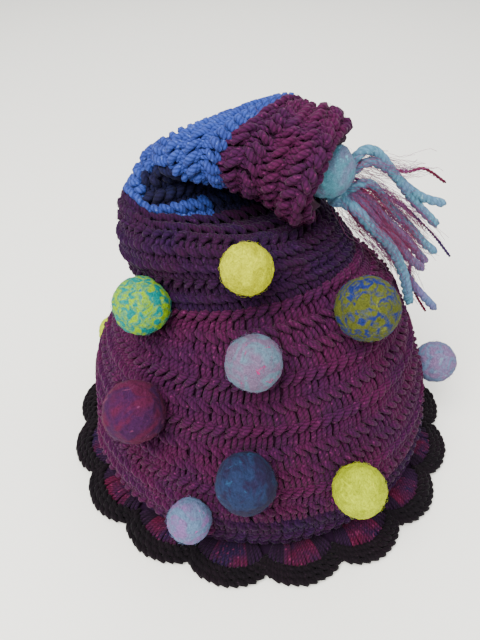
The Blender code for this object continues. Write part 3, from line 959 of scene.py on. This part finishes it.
def balls():
    """Ten balls on the hat and one in the mouth of its tip."""
    mouth = SECTIONS[-1]
    lean, pitch = math.radians(mouth[3]), math.radians(mouth[4])
    axis = np.array((math.cos(lean) * math.cos(pitch), -math.sin(lean) * math.cos(pitch),
                     math.sin(pitch)))
    tip = Felt("tip", 0, 0, TIP_RADIUS, (0.06, 0.18, 0.24), (0.10, 0.12, 0.20),
               (0.10, 0.30, 0.38), 80, 0.52)
    for seed, felt in enumerate(FELT + (tip,)):
        if felt is tip:
            centre, out, flat = mouth[:3] - axis * TIP_BEHIND, axis, 1.0
        else:
            point, out = hat_frame(np.array(float(felt.level)), float(felt.around))
            centre, flat = point + out * (BALL_FLAT * felt.radius + BALL_GAP), BALL_FLAT
        look = felt_material(felt)
        ball = round_form("felt_ball_" + felt.name, centre, felt.radius, out, flat, seed * 3.7)
        fluff = tubes("felt_fuzz_" + felt.name,
                      [fuzz(centre, felt.radius, out, flat, BALL_FIBRES, 100 + seed)], sides=3)
        dress(ball, look)
        dress(fluff, fluff_material("fuzz_" + felt.name, felt.first))
        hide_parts("ball_" + felt.name)


# ===================================================================================== tassel
KNOT = np.array((26.7, -18.5, 153.5))
KNOT_LOOPS, KNOT_YARN = 9, 1.25
PLY_OFFSET, PLY_RADIUS = 0.44, 0.62    # of a plied strand's radius
THICK_SPREAD = 1.35            # a thick strand's loose plies stand this much wider
THIN_RADIUS = 0.8
HAIRS, HAIR_WANDER = 1100, 0.5
# Thick plied strands: radius, colour, and the places they pass through after the knot.
THICK = (
    (1.7, "turquoise", ((32, -14, 163), (38, -12, 170), (46, -11, 168), (58, -10, 154),
                        (69, -8, 141), (83, -9, 127))),
    (1.6, "turquoise", ((35, -13, 162), (43, -12, 165), (53, -10, 159), (64, -9, 149),
                        (74, -8, 142), (85, -8, 138))),
    (1.9, "turquoise", ((34, -23, 149), (42, -24, 140), (53, -23, 128), (63, -22, 111),
                        (71, -20, 90))),
    (1.6, "lilac", ((35, -20, 146), (45, -21, 136), (57, -20, 121), (70, -17, 102),
                    (89, -16, 80))),
    (1.6, "turquoise", ((42, -14, 156), (56, -12, 141), (69, -11, 128), (77, -10, 119),
                        (85, -10, 112))),
    (1.6, "grey", ((39, -15, 152), (53, -15, 137), (66, -14, 124), (72, -13, 117),
                   (79, -13, 109))),
    (1.6, "grey", ((37, -18, 150), (48, -18, 137), (60, -18, 125), (68, -17, 115),
                   (76, -17, 108))),
)
# Thin strands, all of one radius: colour and places.
THIN = (
    ("burgundy", ((32, -15, 163), (40, -12, 165), (50, -11, 161), (62, -9, 157), (71, -8, 157),
                  (83, -8, 149))),
    ("burgundy", ((32, -16, 157), (42, -15, 150), (52, -14, 139), (62, -13, 126), (69, -14, 115),
                  (72, -14, 100))),
    ("navy", ((32, -15, 160), (44, -13, 154), (60, -12, 143), (70, -11, 134), (83, -9, 121),
              (94, -10, 108))),
    ("burgundy", ((30, -19, 154), (36, -21, 142), (53, -18, 125), (65, -17, 111), (75, -16, 93),
                  (84, -16, 79))),
)
TASSEL = {
    "turquoise": ((0.075, 0.21, 0.30), (0.10, 0.18, 0.31), (0.18, 0.34, 0.42), 0.3),
    "lilac": ((0.10, 0.15, 0.30), (0.14, 0.10, 0.25), (0.20, 0.22, 0.38), 0.3),
    "grey": ((0.10, 0.11, 0.20), (0.13, 0.07, 0.17), (0.17, 0.20, 0.30), 0.3),
    "burgundy": ((0.11, 0.004, 0.025), (0.07, 0.003, 0.022), (0.20, 0.015, 0.06), 0.2),
    "navy": ((0.020, 0.010, 0.055), (0.03, 0.01, 0.06), (0.05, 0.03, 0.10), 0.2),
    "mohair": ((0.20, 0.045, 0.16), (0.24, 0.02, 0.075), (0.18, 0.15, 0.32), 0.4),
}


def swept(points):
    """Two directions across one path that don't spin round it."""
    tangent = unit(np.gradient(points, axis=0))
    side = np.zeros_like(points)
    now = np.array((0.0, 1.0, 0.0))
    for i, way in enumerate(tangent):
        now = now - way * (now @ way)
        now = now / np.linalg.norm(now)
        side[i] = now
    return side, np.cross(tangent, side)


def plied(route, radius, plies, pitch, count=64):
    """Paths of the plies twisted round a route, as a group for tubes()."""
    points = curve_through((KNOT,) + route, count)
    side, other = swept(points)
    step = np.linalg.norm(np.diff(points, axis=0), axis=1)
    length = np.concatenate(((0,), np.cumsum(step)))
    turn = 2 * math.pi * (length / pitch + np.arange(plies)[:, None] / plies)
    away = np.cos(turn)[..., None] * side + np.sin(turn)[..., None] * other
    thick = np.full(count, radius * PLY_RADIUS)
    thick[-1] *= 0.6
    return points + away * radius * PLY_OFFSET, away, thick


def strayed(draw, routes, count, wander, points=10):
    """Fine fibres that drift round the strands' routes."""
    paths = []
    for _ in range(count):
        route = np.array((KNOT,) + routes[draw.integers(len(routes))])
        line = curve_through(route, 60)
        first = draw.integers(4, 34)
        last = min(59, first + draw.integers(12, 26))
        line = line[np.linspace(first, last, points).astype(int)]
        share = np.linspace(0, 1, points)[:, None]
        drift = np.cumsum(draw.normal(0, wander, (points, 3)), axis=0) + draw.normal(0, 2.2, 3)
        line = line + drift + draw.normal(0, wander * 2, 3) * share
        paths.append(line)
    return np.array(paths)


def tassel():
    draw = np.random.default_rng(53)
    wools = {name: yarn_material("tassel_" + name, look, pitch=9.0, plies=2, patch=110.0,
                                 groove_shade=0.28)
             for name, look in TASSEL.items()}
    for colour in ("turquoise", "lilac", "grey"):
        groups = [plied(route, radius * THICK_SPREAD, 3, 15.0)
                  for radius, kind, route in THICK if kind == colour]
        dress(tubes("tassel_" + colour, groups), wools[colour])
    for colour in ("burgundy", "navy"):
        groups = [plied(route, THIN_RADIUS, 2, 4.5, 90) for kind, route in THIN if kind == colour]
        dress(tubes("tassel_" + colour, groups, 5), wools[colour])
    turn = np.linspace(0, 2 * math.pi * 0.97, 26)
    loops = []
    for _ in range(KNOT_LOOPS):
        a = unit(draw.normal(0, 1, 3))
        b = unit(np.cross(a, draw.normal(0, 1, 3)))
        loops.append(KNOT + (np.cos(turn)[:, None] * a + np.sin(turn)[:, None] * b)
                     * draw.uniform(2.4, 3.6))
    loops = np.array(loops)
    knot = tubes("tassel_knot", [(loops, unit(loops - KNOT), KNOT_YARN)])
    dress(knot, wools["turquoise"])
    routes = [route for _, _, route in THICK[2:]] + [route for _, route in THIN]
    hair = tubes("tassel_mohair",
                 [laid_flat(strayed(draw, routes, HAIRS, HAIR_WANDER), MOHAIR_FIBRE)], 3)
    dress(hair, wools["mohair"])
    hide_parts("tassel")


# ============================================================================ the whole scene
camera()
studio()
CLOTH, ROUNDS = hat()
FAN_CLOTH, FAN_YARN, EDGE_CLOTH, EDGE_YARN = frill()
balls()
tassel()
